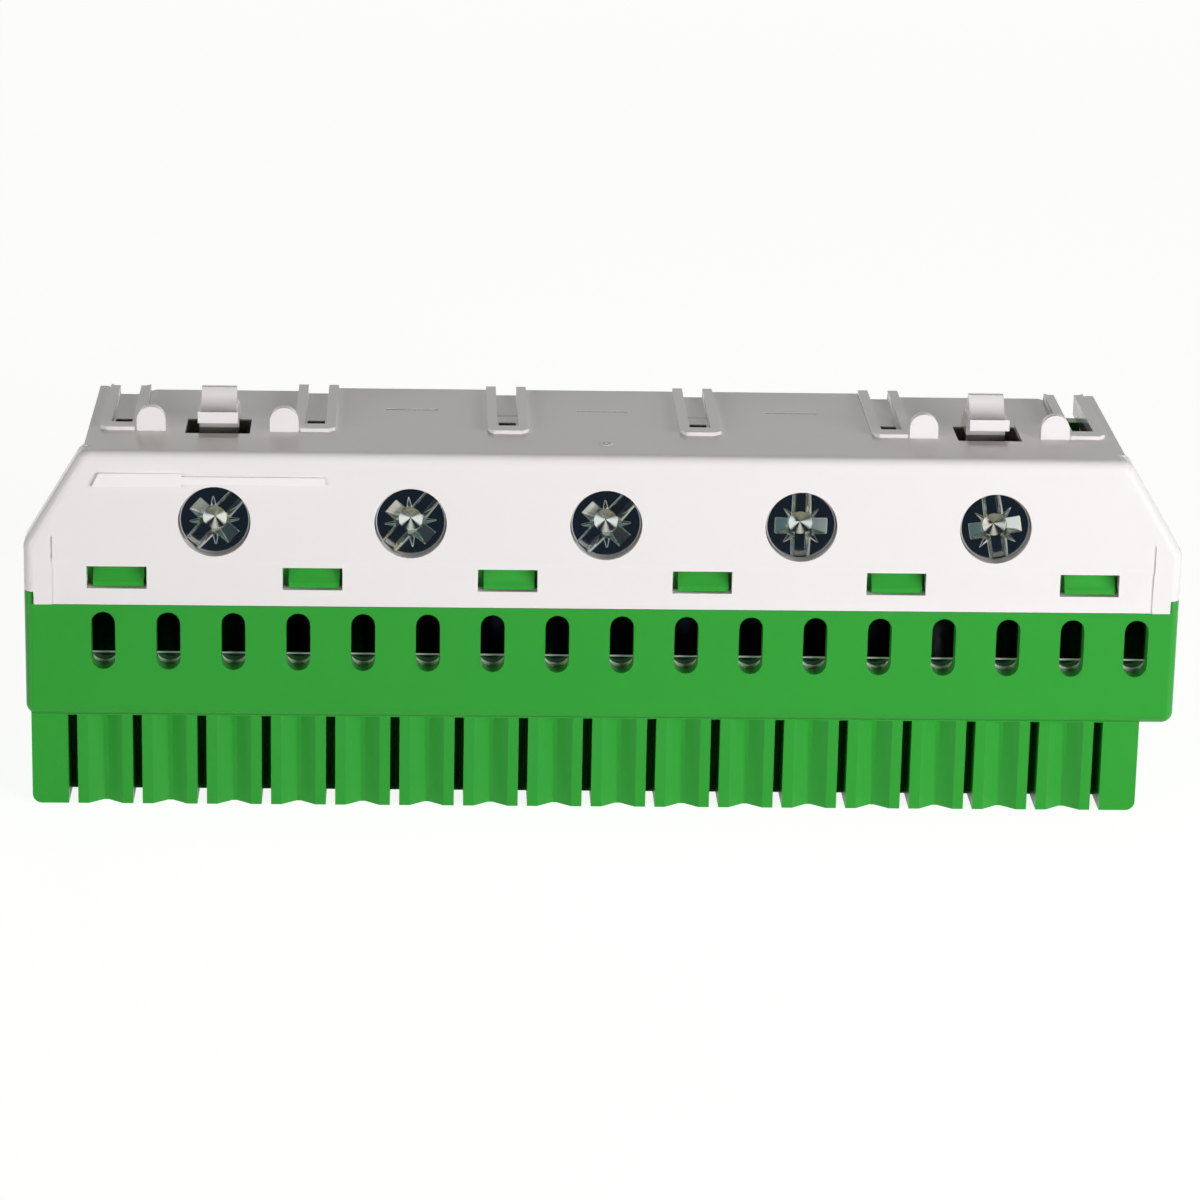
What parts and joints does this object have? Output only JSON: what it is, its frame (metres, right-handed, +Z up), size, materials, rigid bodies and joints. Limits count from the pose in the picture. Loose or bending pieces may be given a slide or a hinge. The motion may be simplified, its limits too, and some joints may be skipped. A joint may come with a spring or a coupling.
{
  "type": "earth terminal block",
  "caption": "Long terminal block with captive clamp screws under a snapped cover, push-in ways with release slots in a green housing and a ribbed wire comb below.",
  "frame": {"origin": "middle of the block's underside, at the middle of its overall length and depth", "axes": "+X along the block to the right as seen from the front, the front faces -Y, +Z up"},
  "size_m": [0.0982, 0.0222, 0.0344],
  "materials": {
    "white_plastic": "smooth",
    "green_plastic": "smooth",
    "brass": "drawn",
    "zinc_steel": "zinc plated",
    "plated_steel": "zinc plated",
    "spring_steel": "bright"
  },
  "bodies": {
    "body": {"cover": "white_plastic", "housing": "green_plastic", "busbar": "brass", "spring_01": "spring_steel", "spring_02": "spring_steel", "spring_03": "spring_steel", "spring_04": "spring_steel", "spring_05": "spring_steel", "spring_06": "spring_steel", "spring_07": "spring_steel", "spring_08": "spring_steel", "spring_09": "spring_steel", "spring_10": "spring_steel", "spring_11": "spring_steel", "spring_12": "spring_steel", "spring_13": "spring_steel", "spring_14": "spring_steel", "spring_15": "spring_steel", "spring_16": "spring_steel", "spring_17": "spring_steel"},
    "screw_1": {"clamp_screw_1": "zinc_steel"},
    "cage_1": {"clamp_cage_1": "plated_steel"},
    "screw_2": {"clamp_screw_2": "zinc_steel"},
    "cage_2": {"clamp_cage_2": "plated_steel"},
    "screw_3": {"clamp_screw_3": "zinc_steel"},
    "cage_3": {"clamp_cage_3": "plated_steel"},
    "screw_4": {"clamp_screw_4": "zinc_steel"},
    "cage_4": {"clamp_cage_4": "plated_steel"},
    "screw_5": {"clamp_screw_5": "zinc_steel"},
    "cage_5": {"clamp_cage_5": "plated_steel"}
  },
  "joints": [
    {"name": "screw_1_turn", "type": "hinge", "parent": "body", "child": "screw_1", "pos_m": [-0.033, -0.01085, 0.0255], "axis": [0, 1, 0], "range_deg": [0, 2385]},
    {"name": "cage_1_lift", "type": "slide", "parent": "body", "child": "cage_1", "axis": [0, -1, 0], "range_m": [0, 0.0053]},
    {"name": "screw_2_turn", "type": "hinge", "parent": "body", "child": "screw_2", "pos_m": [-0.0165, -0.01085, 0.0255], "axis": [0, 1, 0], "range_deg": [0, 2385]},
    {"name": "cage_2_lift", "type": "slide", "parent": "body", "child": "cage_2", "axis": [0, -1, 0], "range_m": [0, 0.0053]},
    {"name": "screw_3_turn", "type": "hinge", "parent": "body", "child": "screw_3", "pos_m": [0, -0.01085, 0.0255], "axis": [0, 1, 0], "range_deg": [0, 2385]},
    {"name": "cage_3_lift", "type": "slide", "parent": "body", "child": "cage_3", "axis": [0, -1, 0], "range_m": [0, 0.0053]},
    {"name": "screw_4_turn", "type": "hinge", "parent": "body", "child": "screw_4", "pos_m": [0.0165, -0.01085, 0.0255], "axis": [0, 1, 0], "range_deg": [0, 2385]},
    {"name": "cage_4_lift", "type": "slide", "parent": "body", "child": "cage_4", "axis": [0, -1, 0], "range_m": [0, 0.0053]},
    {"name": "screw_5_turn", "type": "hinge", "parent": "body", "child": "screw_5", "pos_m": [0.033, -0.01085, 0.0255], "axis": [0, 1, 0], "range_deg": [0, 2385]},
    {"name": "cage_5_lift", "type": "slide", "parent": "body", "child": "cage_5", "axis": [0, -1, 0], "range_m": [0, 0.0053]}
  ],
  "couplings": [
    {"joint": "screw_1_turn", "follows": "cage_1_lift", "rad_per_m": 7854},
    {"joint": "screw_2_turn", "follows": "cage_2_lift", "rad_per_m": 7854},
    {"joint": "screw_3_turn", "follows": "cage_3_lift", "rad_per_m": 7854},
    {"joint": "screw_4_turn", "follows": "cage_4_lift", "rad_per_m": 7854},
    {"joint": "screw_5_turn", "follows": "cage_5_lift", "rad_per_m": 7854}
  ]
}
